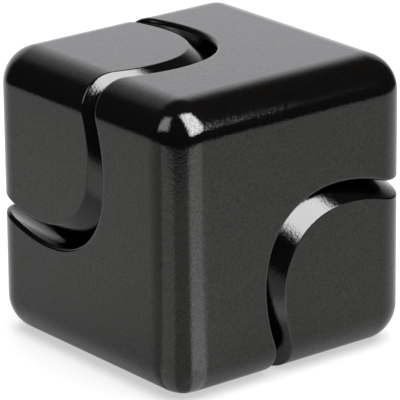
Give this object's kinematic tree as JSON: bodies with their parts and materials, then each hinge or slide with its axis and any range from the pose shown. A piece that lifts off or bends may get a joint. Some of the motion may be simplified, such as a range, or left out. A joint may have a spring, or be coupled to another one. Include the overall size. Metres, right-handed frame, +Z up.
{
  "type": "cube spinner",
  "caption": "Rounded metal cube split by a round slot along a body diagonal: two opposite corners are finger grips, and the rest of the cube spins around them on a ball bearing.",
  "frame": {"origin": "middle of the bottom face of the cube, at the joint's rest pose", "axes": "+Z up; the cube's edges run along X, Y and Z; the spin axis runs through the cube's centre from the (-X, +Y, +Z) corner to the (+X, -Y, -Z) corner"},
  "size_m": [0.028, 0.028, 0.028],
  "materials": {
    "black_body": "satin black anodised, finely blasted",
    "black_caps": "satin black anodised, finely blasted",
    "bearing_steel": "ground bearing steel",
    "bearing_balls": "polished bearing steel",
    "cage_steel": "pressed steel strip",
    "zinc_steel": "zinc-plated pressed steel",
    "spring_wire": "drawn spring wire",
    "black_oxide_steel": "black oxide"
  },
  "bodies": {
    "cube": {"cube_body": "black_body", "bearing_outer_ring": "bearing_steel", "upper_bearing_shield": "zinc_steel", "lower_bearing_shield": "zinc_steel", "upper_shield_snap_wire": "spring_wire", "lower_shield_snap_wire": "spring_wire"},
    "finger_caps": {"upper_corner_cap": "black_caps", "lower_corner_cap": "black_caps", "axle_stud": "black_oxide_steel", "bearing_inner_ring": "bearing_steel", "upper_shim": "zinc_steel", "lower_shim": "zinc_steel"},
    "ball_cage": {"upper_cage_half": "cage_steel", "lower_cage_half": "cage_steel", "cage_rivets": "cage_steel"},
    "ball_1": {"bearing_ball_1": "bearing_balls"},
    "ball_2": {"bearing_ball_2": "bearing_balls"},
    "ball_3": {"bearing_ball_3": "bearing_balls"},
    "ball_4": {"bearing_ball_4": "bearing_balls"},
    "ball_5": {"bearing_ball_5": "bearing_balls"},
    "ball_6": {"bearing_ball_6": "bearing_balls"},
    "ball_7": {"bearing_ball_7": "bearing_balls"}
  },
  "joints": [
    {"name": "spin", "type": "hinge", "parent": "cube", "child": "finger_caps", "pos_m": [0, 0, 0.014], "axis": [0.5774, -0.5774, -0.5774], "continuous": true},
    {"name": "cage_orbit", "type": "hinge", "parent": "cube", "child": "ball_cage", "pos_m": [0, 0, 0.014], "axis": [0.5774, -0.5774, -0.5774], "continuous": true},
    {"name": "ball_1_roll", "type": "hinge", "parent": "ball_cage", "child": "ball_1", "pos_m": [0.0053, 0.0053, 0.014], "axis": [0.5774, -0.5774, -0.5774], "continuous": true},
    {"name": "ball_2_roll", "type": "hinge", "parent": "ball_cage", "child": "ball_2", "pos_m": [0.0057, 0.00091, 0.01879], "axis": [0.5774, -0.5774, -0.5774], "continuous": true},
    {"name": "ball_3_roll", "type": "hinge", "parent": "ball_cage", "child": "ball_3", "pos_m": [0.0018, -0.00417, 0.01997], "axis": [0.5774, -0.5774, -0.5774], "continuous": true},
    {"name": "ball_4_roll", "type": "hinge", "parent": "ball_cage", "child": "ball_4", "pos_m": [-0.00345, -0.00611, 0.01666], "axis": [0.5774, -0.5774, -0.5774], "continuous": true},
    {"name": "ball_5_roll", "type": "hinge", "parent": "ball_cage", "child": "ball_5", "pos_m": [-0.00611, -0.00345, 0.01134], "axis": [0.5774, -0.5774, -0.5774], "continuous": true},
    {"name": "ball_6_roll", "type": "hinge", "parent": "ball_cage", "child": "ball_6", "pos_m": [-0.00417, 0.0018, 0.00803], "axis": [0.5774, -0.5774, -0.5774], "continuous": true},
    {"name": "ball_7_roll", "type": "hinge", "parent": "ball_cage", "child": "ball_7", "pos_m": [0.00091, 0.0057, 0.00921], "axis": [0.5774, -0.5774, -0.5774], "continuous": true}
  ],
  "couplings": [
    {"joint": "cage_orbit", "follows": "spin", "ratio": 0.3677},
    {"joint": "ball_1_roll", "follows": "spin", "ratio": -1.7573},
    {"joint": "ball_2_roll", "follows": "spin", "ratio": -1.7573},
    {"joint": "ball_3_roll", "follows": "spin", "ratio": -1.7573},
    {"joint": "ball_4_roll", "follows": "spin", "ratio": -1.7573},
    {"joint": "ball_5_roll", "follows": "spin", "ratio": -1.7573},
    {"joint": "ball_6_roll", "follows": "spin", "ratio": -1.7573},
    {"joint": "ball_7_roll", "follows": "spin", "ratio": -1.7573}
  ]
}
